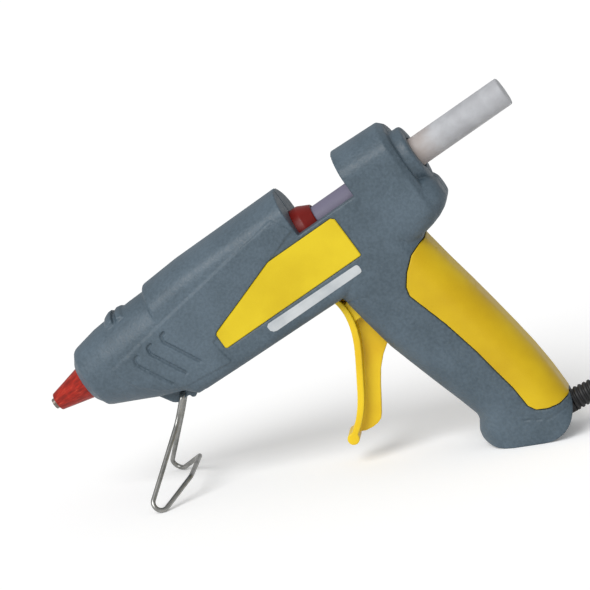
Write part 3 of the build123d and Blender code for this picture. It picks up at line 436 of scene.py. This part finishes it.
@dataclass(frozen=True)
class FrostedStick(Finish):
    """Milky hot-melt stick: frosted, with drawn lines, a painted reflection of the red sleeve by the collar and
    bluish painted shade in the window.
    """

    tone: Colour = srgb(198, 200, 204)
    deep: Colour = srgb(176, 177, 181)
    # The warm colour of the painted reflection of the red sleeve.
    sleeve_reflection: Colour = srgb(186, 168, 156)
    # The bluish colour of the painted shade in the window.
    window_shade: Colour = srgb(126, 122, 144)
    roughness: float = 0.55
    clear: float = 0.2
    index: float = 1.46
    shine: float = 0.35
    turn: float = TILT
    line_scale: Triple = (18.0, 500.0, 500.0)
    cloud: float = 7 * MM
    drift: float = 0.012
    reflection_share: float = 0.6
    relief: float = 0.05 * MM
    window_start: float = 34 * MM
    window_end: float = 74 * MM
    window_fade: float = 14 * MM
    collar_end: float = 98 * MM
    collar_fade: float = 14 * MM

    def make(self, board: Board) -> bpy.types.Material:
        """Builds the nodes."""
        place = board.place()
        drawn = board.noise(board.turned(place, (0.0, -self.turn, 0.0), self.line_scale), 1.0, 2.0)
        along = board.add("ShaderNodeSeparateXYZ", {}, {"Vector": board.turned(place, (0.0, -self.turn, 0.0))})
        cloud = board.noise(place, self.cloud, 4.0, 0.6)
        colour = board.blend(cloud.span(0.25, 0.75), self.deep, self.tone)
        # Painted reflection: a warm band by the collar where the red sleeve would reflect.
        near = along + (cloud - 0.5) * self.drift
        reflection_band = 1 - near.span(self.collar_end, self.collar_end + self.collar_fade)
        reflection_band = reflection_band * near.span(self.window_end, self.window_end + self.collar_fade)
        colour = board.blend(reflection_band * self.reflection_share, colour, self.sleeve_reflection)
        # Painted shade: the stretch in the window is mixed towards a bluish grey.
        window = along.span(self.window_start, self.window_start + self.window_fade)
        window = window * (1 - along.span(self.window_end, self.window_end + self.window_fade))
        colour = board.blend(window, colour, self.window_shade)
        rough = self.roughness + (cloud - 0.5) * 0.2 + (drawn - 0.5) * 0.12
        return board.finish({"Base Color": colour, "Roughness": rough, "Transmission Weight": self.clear,
                             "IOR": self.index, "Specular IOR Level": self.shine,
                             "Normal": board.bump(drawn * 0.6 + cloud * 0.6, self.relief)})


@dataclass(frozen=True)
class Metal(Finish):
    """Worked metal: drawn or turned lines, a cloudy tarnish and its own gloss."""

    tone: Colour
    tarnish: Colour
    roughness: float
    line: float = 0.35 * MM
    line_depth: float = 0.012 * MM
    cloud: float = 6 * MM

    def make(self, board: Board) -> bpy.types.Material:
        """Builds the nodes."""
        place = board.place()
        line = board.noise(place, self.line, 2.0)
        cloud = board.noise(place, self.cloud, 4.0, 0.62)
        colour = board.blend(cloud.span(0.35, 0.7), self.tone, self.tarnish)
        rough = self.roughness + (cloud - 0.5) * 0.25 + (line - 0.5) * 0.15
        return board.finish({"Base Color": colour, "Roughness": rough, "Metallic": 1.0,
                             "Normal": board.bump(line, self.line_depth)})


@dataclass(frozen=True)
class Rubber(Finish):
    """Soft extruded or moulded jacket with a dusty bloom and a fine skin."""

    tone: Colour = srgb(24, 24, 25)
    bloom: Colour = srgb(52, 52, 54)
    roughness: float = 0.5
    skin: float = 0.5 * MM
    skin_depth: float = 0.02 * MM
    cloud: float = 8 * MM

    def make(self, board: Board) -> bpy.types.Material:
        """Builds the nodes."""
        place = board.place()
        cloud = board.noise(place, self.cloud, 4.0, 0.6)
        skin = board.noise(place, self.skin, 2.0)
        colour = board.blend(cloud.span(0.48, 0.8) * 0.6 + skin * 0.12, self.tone, self.bloom)
        rough = self.roughness + (cloud - 0.5) * 0.3
        return board.finish({"Base Color": colour, "Roughness": rough,
                             "Normal": board.bump(skin, self.skin_depth)})


@dataclass(frozen=True)
class Fired(Finish):
    """Fired or filled insulator: speckled, matt, slightly pitted."""

    tone: Colour = srgb(226, 222, 210)
    speck: Colour = srgb(176, 168, 150)
    roughness: float = 0.7
    grain: float = 0.7 * MM
    grain_depth: float = 0.03 * MM
    cloud: float = 4 * MM

    def make(self, board: Board) -> bpy.types.Material:
        """Builds the nodes."""
        place = board.place()
        speck = board.cells(place, self.grain)
        cloud = board.noise(place, self.cloud, 3.0)
        colour = board.blend(speck.span(0.2, 0.6) * 0.5 + cloud.span(0.4, 0.7) * 0.4, self.tone, self.speck)
        return board.finish({"Base Color": colour, "Roughness": self.roughness + (cloud - 0.5) * 0.2,
                             "Normal": board.bump(speck, self.grain_depth)})


class Shop:
    """The finishes of this gun, by what they are on."""

    HOUSING = MouldedPlastic("housing_moulding")
    # Each satin finish gives deep, tone, its painted edge highlight colour, roughness and, where given, its
    # painted groove shade colour.
    PLATE = SatinPlastic("plate_yellow", srgb(206, 177, 14), srgb(226, 200, 30), srgb(248, 232, 120), 0.42)
    GRIP = SatinPlastic("grip_yellow", srgb(192, 156, 6), srgb(214, 182, 16), srgb(240, 214, 80), 0.40)
    TRIGGER = SatinPlastic("trigger_yellow", srgb(222, 178, 18), srgb(240, 208, 36), srgb(250, 230, 110), 0.36,
                           srgb(214, 132, 14))
    GUARD = StreakedGuard("guard_red")
    SLEEVE = SatinPlastic("sleeve_red", srgb(92, 10, 3), srgb(138, 18, 8), srgb(168, 42, 26), 0.38, srgb(60, 6, 2))
    LABEL = FoilLabel("label_foil")
    STICK = FrostedStick("stick_frosted")
    WIRE = Metal("wire_bright", srgb(166, 166, 163), srgb(132, 132, 129), 0.34, 0.3 * MM, 0.005 * MM)
    STEEL = Metal("steel_zinc", srgb(172, 174, 176), srgb(128, 130, 132), 0.34)
    NOZZLE = Metal("nozzle_plated", srgb(168, 164, 158), srgb(112, 104, 96), 0.36)
    BRASS = Metal("brass_drawn", srgb(196, 160, 84), srgb(140, 108, 56), 0.32)
    ALLOY = Metal("chamber_cast", srgb(160, 162, 164), srgb(112, 112, 112), 0.5, 0.8 * MM, 0.06 * MM)
    CERAMIC = Fired("heater_ceramic")
    FILM = SatinPlastic("film_amber", srgb(150, 84, 16), srgb(190, 120, 30), srgb(220, 160, 70), 0.25,
                        srgb(110, 60, 10))
    WHITE = SatinPlastic("feed_white", srgb(206, 204, 194), srgb(226, 224, 216), srgb(240, 240, 236), 0.4,
                         srgb(150, 148, 140))
    BLACK = Rubber("cord_black")
    LEAD = Rubber("lead_jacket", srgb(206, 204, 196), srgb(150, 146, 138), 0.6)


def activate(piece: bpy.types.Object) -> None:
    """Makes one object the only selected and active one.

    Args:
        piece: The object.
    """
    bpy.ops.object.select_all(action="DESELECT")
    piece.select_set(True)
    bpy.context.view_layer.objects.active = piece


def apply_modifier(piece: bpy.types.Object, kind: str, **settings: object) -> None:
    """Adds a modifier and applies it.

    Args:
        piece: The object.
        kind: The modifier's type.
        settings: Its properties.
    """
    activate(piece)
    modifier = piece.modifiers.new(kind.lower(), kind)
    for key, value in settings.items():
        setattr(modifier, key, value)
    bpy.ops.object.modifier_apply(modifier=modifier.name)


def copy_node(node: str, name: str) -> bpy.types.Object:
    """Copies a node's mesh into a new piece with its doubles merged.

    Args:
        node: The node's name.
        name: The new piece's name.

    Returns:
        The piece.
    """
    piece = bpy.data.objects.new(name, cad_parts[node].data.copy())
    bpy.context.scene.collection.objects.link(piece)
    activate(piece)
    bpy.ops.object.mode_set(mode="EDIT")
    bpy.ops.mesh.select_all(action="SELECT")
    bpy.ops.mesh.remove_doubles(threshold=MERGE)
    bpy.ops.object.mode_set(mode="OBJECT")
    return piece


def crisp_copy(node: str, name: str, angle: float = 32.0) -> bpy.types.Object:
    """Copies a node and shades it smooth but for its real edges.

    Args:
        node: The node's name.
        name: The new piece's name.
        angle: The angle that counts as an edge, in degrees.

    Returns:
        The piece.
    """
    piece = copy_node(node, name)
    activate(piece)
    bpy.ops.mesh.customdata_custom_splitnormals_clear()
    bpy.ops.object.shade_smooth_by_angle(angle=math.radians(angle))
    return piece


def bevelled_copy(node: str, name: str, width: float) -> bpy.types.Object:
    """Copies a flat plate and bevels its outline.

    Args:
        node: The node's name.
        name: The new piece's name.
        width: The bevel's width, in metres.

    Returns:
        The piece.
    """
    piece = copy_node(node, name)
    activate(piece)
    bpy.ops.object.mode_set(mode="EDIT")
    bpy.ops.mesh.select_all(action="SELECT")
    bpy.ops.mesh.dissolve_limited(angle_limit=FLAT_ANGLE)
    bpy.ops.object.mode_set(mode="OBJECT")
    apply_modifier(piece, "BEVEL", width=width, segments=3, limit_method="ANGLE", angle_limit=CORNER_ANGLE)
    activate(piece)
    bpy.ops.mesh.customdata_custom_splitnormals_clear()
    bpy.ops.object.shade_smooth_by_angle(angle=PLATE_ANGLE)
    return piece


def mark_crests(piece: bpy.types.Object, rounds: int = 2) -> None:
    """Writes each point's edge value: above 0 on rounded edges, below 0 in grooves.

    Args:
        piece: The object, with evenly spaced points.
        rounds: How often the value is evened out with its neighbours.
    """
    mesh = piece.data
    points = np.empty(len(mesh.vertices) * 3)
    mesh.vertices.foreach_get("co", points)
    points = points.reshape(-1, 3)
    normals = np.empty(len(mesh.vertices) * 3)
    mesh.vertices.foreach_get("normal", normals)
    ends = np.empty(len(mesh.edges) * 2, dtype=np.int64)
    mesh.edges.foreach_get("vertices", ends)
    first, second = ends.reshape(-1, 2).T
    count = np.bincount(ends, minlength=len(points)).astype(float)

    def around(values: np.ndarray) -> np.ndarray:
        """The mean of each point's neighbours."""
        total = np.zeros_like(values)
        np.add.at(total, first, values[second])
        np.add.at(total, second, values[first])
        return total / np.maximum(count, 1).reshape((-1,) + (1,) * (values.ndim - 1))

    reach = np.linalg.norm(points[first] - points[second], axis=1).mean()
    crest = -((around(points) - points) * normals.reshape(-1, 3)).sum(axis=1) / reach
    for _ in range(rounds):
        crest = (crest + around(crest)) / 2
    attribute = mesh.attributes.new("crest", "FLOAT", "POINT")
    attribute.data.foreach_set("value", crest.astype(np.float32))


def soft_copy(node: str, name: str, voxel: float, rounds: int, most: int = 150000) -> bpy.types.Object:
    """Copies a node as a moulding with softly rounded edges.

    Args:
        node: The node's name.
        name: The new piece's name.
        voxel: The size of its new faces, in metres.
        rounds: How often it is smoothed.
        most: The most triangles it keeps.

    Returns:
        The piece.
    """
    piece = copy_node(node, name)
    apply_modifier(piece, "REMESH", mode="VOXEL", voxel_size=voxel, use_smooth_shade=True)
    apply_modifier(piece, "SMOOTH", factor=0.5, iterations=rounds)
    mark_crests(piece)
    triangles = 2 * len(piece.data.polygons)
    if triangles > most:
        apply_modifier(piece, "DECIMATE", decimate_type="COLLAPSE", ratio=most / triangles)
    activate(piece)
    bpy.ops.object.shade_smooth()
    return piece


def settle(piece: bpy.types.Object, body: Body, slot: str, finish: Finish, *nodes: str) -> bpy.types.Object:
    """Dresses a piece, lets it ride on its body and stand for its nodes.

    Args:
        piece: The object.
        body: The body that it rides on.
        slot: The record's material slot; not used.
        finish: The finish.
        nodes: The nodes that it stands for.

    Returns:
        The piece.
    """
    finish.dress(piece)
    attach(piece, body.value)
    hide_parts(*nodes)
    LOG.info("%s: %d faces", piece.name, len(piece.data.polygons) if piece.type == "MESH" else 0)
    return piece


@dataclass
class Housing:
    """The two moulded shells with their softened edges."""

    voxel: float = 0.42 * MM
    rounds: int = 3

    def build(self) -> None:
        """Makes both shells."""
        for side in ("left_shell", "right_shell"):
            shell = soft_copy(side, "moulded_" + side, self.voxel, self.rounds)
            settle(shell, Body.HOUSING, "housing", Shop.HOUSING, side)


@dataclass
class GripAndPlates:
    """The yellow grip, the bare side plates and the bare foil label."""

    grip_voxel: float = 0.34 * MM
    grip_rounds: int = 3
    grip_most: int = 90000
    plate_bevel: float = 0.5 * MM

    def build(self) -> None:
        """Makes the grip, both plates and the label."""
        grip = soft_copy("rear_grip", "wrapped_grip", self.grip_voxel, self.grip_rounds, self.grip_most)
        settle(grip, Body.HOUSING, "yellow", Shop.GRIP, "rear_grip")
        for side in ("left_name_plate", "right_name_plate"):
            plate = bevelled_copy(side, "inlaid_" + side, self.plate_bevel)
            settle(plate, Body.HOUSING, "yellow", Shop.PLATE, side)
        Shop.LABEL.dress(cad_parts["rating_label"])


@dataclass
class Trigger:
    """The pulled trigger, a T-section with a bead at its end, and the spring that it presses."""

    voxel: float = 0.3 * MM
    rounds: int = 3
    most: int = 90000
    spring_edge: float = 50.0
    spring_post: Triple = (49.2 * MM, 0.0, 62.79 * MM)
    spring_keep: float = 0.7

    def build(self) -> None:
        """Makes the trigger and its spring."""
        trigger = soft_copy("trigger", "moulded_trigger", self.voxel, self.rounds, self.most)
        settle(trigger, Body.TRIGGER, "yellow", Shop.TRIGGER, "trigger")
        spring = crisp_copy("return_spring", "coiled_spring", self.spring_edge)
        settle(spring, Body.HOUSING, "steel", Shop.WIRE, "return_spring")
        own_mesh(spring)


@dataclass
class Nozzle:
    """The red guard with the metal tip that shows through it, and the red sleeve behind the barrel."""

    guard_voxel: float = 0.25 * MM
    sleeve_voxel: float = 0.3 * MM
    rounds: int = 2
    most: int = 60000

    def build(self) -> None:
        """Makes the guard, the tip and the inlet sleeve."""
        guard = soft_copy("nozzle_cap", "heat_guard", self.guard_voxel, self.rounds, self.most)
        settle(guard, Body.HOUSING, "red", Shop.GUARD, "nozzle_cap")
        tip = crisp_copy("nozzle", "nozzle_tip")
        settle(tip, Body.HOUSING, "brass", Shop.NOZZLE, "nozzle")
        sleeve = soft_copy("inlet_sleeve", "red_sleeve", self.sleeve_voxel, self.rounds, self.most)
        settle(sleeve, Body.HOUSING, "red", Shop.SLEEVE, "inlet_sleeve")


@dataclass
class StandAndStick:
    """The bent wire stand and the stick in the gun."""

    wire_edge: float = 50.0
    stick_edge: float = 30.0

    def build(self) -> None:
        """Makes the wire and the stick."""
        wire = crisp_copy("stand_wire", "bent_stand", self.wire_edge)
        settle(wire, Body.STAND, "steel", Shop.WIRE, "stand_wire")
        stick = crisp_copy("glue_stick", "frosted_stick", self.stick_edge)
        settle(stick, Body.STICK, "glue", Shop.STICK, "glue_stick")


@dataclass
class StrainRelief:
    """The ribbed rubber boot that the cord leaves by."""

    length: float = 30.0
    base: float = 4.3
    tip: float = 3.5
    rib: float = 0.55
    pitch: float = 1.85
    seat: float = 3.0
    flange: float = 5.4
    flange_depth: float = 2.2
    rim: float = 0.4
    cord: float = 2.78
    cord_seat: float = 26.0
    sides: int = 40
    edge: float = 40.0
    rib_shape: tuple[tuple[float, float], ...] = (
        (0.0, 1.0), (0.12, 0.35), (0.26, 0.0), (0.56, 0.0), (0.70, 0.35), (0.82, 1.0))

    def profile(self) -> list[tuple[float, float]]:
        """The boot's outline as (distance along, radius) pairs, from the flange to the tip."""
        start = -self.seat - self.flange_depth
        line = [(start, self.flange - self.rim), (start + self.rim, self.flange),
                (-self.seat - self.rim, self.flange), (-self.seat, self.flange - self.rim),
                (-self.seat, self.base), (0.0, self.base)]
        ribs = int(self.length / self.pitch)
        for index in range(ribs):
            radius = self.base + (self.tip - self.base) * index / (ribs - 1)
            for share, drop in self.rib_shape:
                line.append(((index + share) * self.pitch, radius - self.rib * drop))
        return line

    def build(self, start: Vector, ahead: Vector) -> bpy.types.Object:
        """Models the boot along the cord's first run.

        Args:
            start: The cord's first point, inside the boot.
            ahead: The cord's second point.

        Returns:
            The boot.
        """
        line = self.profile()
        bpy.ops.object.select_all(action="DESELECT")
        bpy.ops.mesh.primitive_circle_add(vertices=self.sides, radius=self.cord * MM, fill_type="NOTHING",
                                          location=(0, 0, line[0][0] * MM))
        boot = bpy.context.object
        boot.name = "ribbed_boot"
        bpy.ops.object.transform_apply(location=True, rotation=True, scale=True)
        bpy.ops.object.mode_set(mode="EDIT")
        bpy.ops.mesh.select_all(action="SELECT")
        before = (line[0][0], self.cord)
        for along, radius in line + [(line[-1][0], self.cord)]:
            bpy.ops.mesh.extrude_edges_move(TRANSFORM_OT_translate={"value": (0, 0, (along - before[0]) * MM)})
            grow = radius / before[1]
            bpy.ops.transform.resize(value=(grow, grow, 1.0), center_override=(0, 0, along * MM))
            before = (along, radius)
        bpy.ops.mesh.select_all(action="SELECT")
        bpy.ops.mesh.normals_make_consistent(inside=False)
        bpy.ops.object.mode_set(mode="OBJECT")
        heading = (ahead - start).normalized()
        origin = start - heading * (self.cord_seat * MM)
        boot.matrix_world = Matrix.Translation(origin) @ heading.to_track_quat("Z", "Y").to_matrix().to_4x4()
        activate(boot)
        bpy.ops.object.transform_apply(location=True, rotation=True, scale=True)
        bpy.ops.object.shade_smooth_by_angle(angle=math.radians(self.edge))
        return settle(boot, Body.HOUSING, "black_rubber", Shop.BLACK, "strain_relief")


@dataclass
class MainsCord:
    """The cord from the boot down to the floor and into its tied coil, with its plug."""

    route: tuple[Triple, ...] = (
        (120.71, 0.0, 19.64), (135.83, 0.0, 24.88), (150.6, -3.0, 24.9), (163.4, -9.2, 20.7), (173.2, -18.6, 12.5),
        (183.3, -22.9, 6.7), (194.9, -24.9, 3.6), (207.0, -24.9, 3.6))
    centre: tuple[float, float] = (213.0, 12.1)
    radii: tuple[float, ...] = (37.0, 34.0, 31.0, 28.0, 25.0, 21.5, 21.5, 25.0, 28.0, 31.0, 34.0, 37.0)
    heights: tuple[float, ...] = (3.6, 3.6, 3.6, 3.6, 3.6, 3.6, 10.0, 10.0, 10.0, 10.0, 10.0, 10.0)
    to_plug: tuple[Triple, ...] = (
        (213.0, 49.1, 10.0), (201.0, 49.1, 9.9), (190.0, 45.0, 9.1), (179.0, 38.4, 8.1), (172.0, 36.1, 7.62),
        (166.0, 36.1, 7.62))
    steps: int = 12
    thick: float = 5.5
    length: float = 1.15
    round_steps: int = 5
    bend_steps: int = 6
    plug_voxel: float = 0.35 * MM
    plug_rounds: int = 4
    plug_most: int = 60000
    tie_voxel: float = 0.2 * MM
    tie_rounds: int = 3
    tie_most: int = 40000

    def points(self) -> list[Vector]:
        """The control points of the whole cord, in metres."""
        line = [Vector(point) for point in self.route]
        slack = 1 - (1 - math.cos(math.pi / self.steps)) / 4
        for half in range(len(self.radii) - 1):
            for step in range(self.steps):
                share = step / self.steps
                radius = (self.radii[half] + (self.radii[half + 1] - self.radii[half]) * share) / slack
                height = self.heights[half] + (self.heights[half + 1] - self.heights[half]) * share
                angle = math.pi * (half + share - 0.5)
                line.append(Vector((self.centre[0] + radius * math.cos(angle),
                                    self.centre[1] + radius * math.sin(angle), height)))
        line += [Vector(point) for point in self.to_plug]
        return [point * MM for point in line]

    def build(self) -> bpy.types.Object:
        """Draws the cord as one smooth spline and dresses the plug and the tie.

        Returns:
            The cord.
        """
        points = self.points()
        curve = bpy.data.curves.new("mains_cord", "CURVE")
        curve.dimensions = "3D"
        curve.bevel_depth = self.thick / 2 * MM
        curve.bevel_resolution = self.round_steps
        curve.resolution_u = self.bend_steps
        spline = curve.splines.new("NURBS")
        spline.points.add(len(points) - 1)
        for control, point in zip(spline.points, points):
            control.co = (*point, 1.0)
        spline.order_u = 3
        spline.use_endpoint_u = True
        cord = bpy.data.objects.new("mains_cord", curve)
        bpy.context.scene.collection.objects.link(cord)
        Shop.BLACK.dress(cord)
        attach(cord, Body.HOUSING.value)
        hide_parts("power_cord", "cord_coil")
        plug = soft_copy("plug_body", "moulded_plug", self.plug_voxel, self.plug_rounds, self.plug_most)
        settle(plug, Body.HOUSING, "black_rubber", Shop.BLACK, "plug_body")
        pins = crisp_copy("plug_pins", "plug_pin_pair")
        settle(pins, Body.HOUSING, "brass", Shop.BRASS, "plug_pins")
        tie = soft_copy("cord_tie", "strapped_tie", self.tie_voxel, self.tie_rounds, self.tie_most)
        settle(tie, Body.HOUSING, "black_rubber", Shop.BLACK, "cord_tie")
        LOG.info("mains_cord: %d points", len(points))
        return cord


@dataclass
class Insides:
    """What is inside the shells: it keeps its shape and gets its finish."""

    finishes: dict[str, Finish] = field(default_factory=lambda: {
        "shell_screws": Shop.STEEL, "melt_chamber": Shop.ALLOY, "front_seat_ring": Shop.CERAMIC,
        "heater_pill": Shop.CERAMIC, "heater_electrodes": Shop.BRASS, "heater_films": Shop.FILM,
        "heater_clamp": Shop.STEEL, "sleeve_clip": Shop.STEEL, "trigger_pin": Shop.STEEL,
        "feed_carriage": Shop.WHITE, "feed_jaw": Shop.STEEL, "jaw_pin": Shop.STEEL,
        "lead_wires": Shop.LEAD, "crimp_connectors": Shop.BRASS, "cord_cores": Shop.LEAD,
        "cord_clamp": Shop.WHITE, "clamp_screws": Shop.STEEL, "cord_tail": Shop.BLACK})

    def dress(self) -> None:
        """Puts the finishes on."""
        for node, finish in self.finishes.items():
            finish.dress(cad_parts[node])
            LOG.info("%s: dressed", node)


@dataclass
class Studio:
    """A pale floor, plain soft light and the camera."""

    target: Triple = (0.0014, 0.0, 0.0666)
    azimuth: float = 6.9
    elevation: float = 11.1
    roll: float = 10.4
    distance: float = 1.2
    lens: float = 198.0
    sensor: float = 36.0
    far: float = 50.0
    world_level: float = 0.5
    sun_level: float = 2.1
    sun_from: Triple = (-0.5, -0.95, 0.85)
    sun_spread: float = 40.0
    floor_size: float = 12.0
    floor_rough: float = 0.9
    floor_glow: float = 0.12

    def camera(self) -> None:
        """Sets up the camera at the photograph's angle."""
        turn, rise, roll = (math.radians(value) for value in (self.azimuth, self.elevation, self.roll))
        behind = Vector((math.sin(turn) * math.cos(rise), -math.cos(turn) * math.cos(rise), math.sin(rise)))
        right = Vector((math.cos(turn), math.sin(turn), 0.0))
        up = behind.cross(right)
        side = right * math.cos(roll) - up * math.sin(roll)
        top = right * math.sin(roll) + up * math.cos(roll)
        place = Vector(self.target) + behind * self.distance
        data = bpy.data.cameras.new("photograph")
        data.lens = self.lens
        data.sensor_width = self.sensor
        data.clip_end = self.far
        camera = bpy.data.objects.new("photograph", data)
        bpy.context.scene.collection.objects.link(camera)
        camera.matrix_world = Matrix(((side.x, top.x, behind.x, place.x), (side.y, top.y, behind.y, place.y),
                                      (side.z, top.z, behind.z, place.z), (0, 0, 0, 1)))
        bpy.context.scene.camera = camera

    def floor(self) -> None:
        """Lays the pale floor."""
        bpy.ops.object.select_all(action="DESELECT")
        bpy.ops.mesh.primitive_plane_add(size=self.floor_size, location=(0, 0, 0))
        floor = bpy.context.object
        floor.name = "pale_floor"
        board = Board("pale_floor")
        seen = board.add("ShaderNodeLightPath", out="Is Camera Ray")
        glow = board.blend(seen, NO_LIGHT, PURE_WHITE)
        floor.data.materials.append(board.finish({
            "Base Color": PURE_WHITE, "Roughness": self.floor_rough, "Specular IOR Level": 0.0,
            "Emission Color": glow, "Emission Strength": self.floor_glow}))

    def light(self) -> None:
        """Sets an even sky and a soft sun from the upper left."""
        world = bpy.data.worlds.new("studio_sky")
        world.use_nodes = True
        background = world.node_tree.nodes["Background"]
        background.inputs["Color"].default_value = PURE_WHITE
        background.inputs["Strength"].default_value = self.world_level
        bpy.context.scene.world = world
        sun = bpy.data.lights.new("soft_sun", "SUN")
        sun.energy = self.sun_level
        sun.angle = math.radians(self.sun_spread)
        lamp = bpy.data.objects.new("soft_sun", sun)
        bpy.context.scene.collection.objects.link(lamp)
        lamp.rotation_euler = Vector(self.sun_from).to_track_quat("Z", "Y").to_euler()

    def build(self) -> None:
        """Sets up the whole studio."""
        self.camera()
        self.floor()
        self.light()
        bpy.context.scene.view_settings.view_transform = "Standard"


def main() -> None:
    """Builds and dresses every piece in order."""
    logging.basicConfig(level=logging.INFO, format="%(message)s")
    Studio().build()
    cord = MainsCord()
    cord.build()
    start, ahead = cord.points()[:2]
    StrainRelief().build(start, ahead)
    Housing().build()
    GripAndPlates().build()
    Trigger().build()
    Nozzle().build()
    StandAndStick().build()
    Insides().dress()


if __name__ == "__main__":
    main()
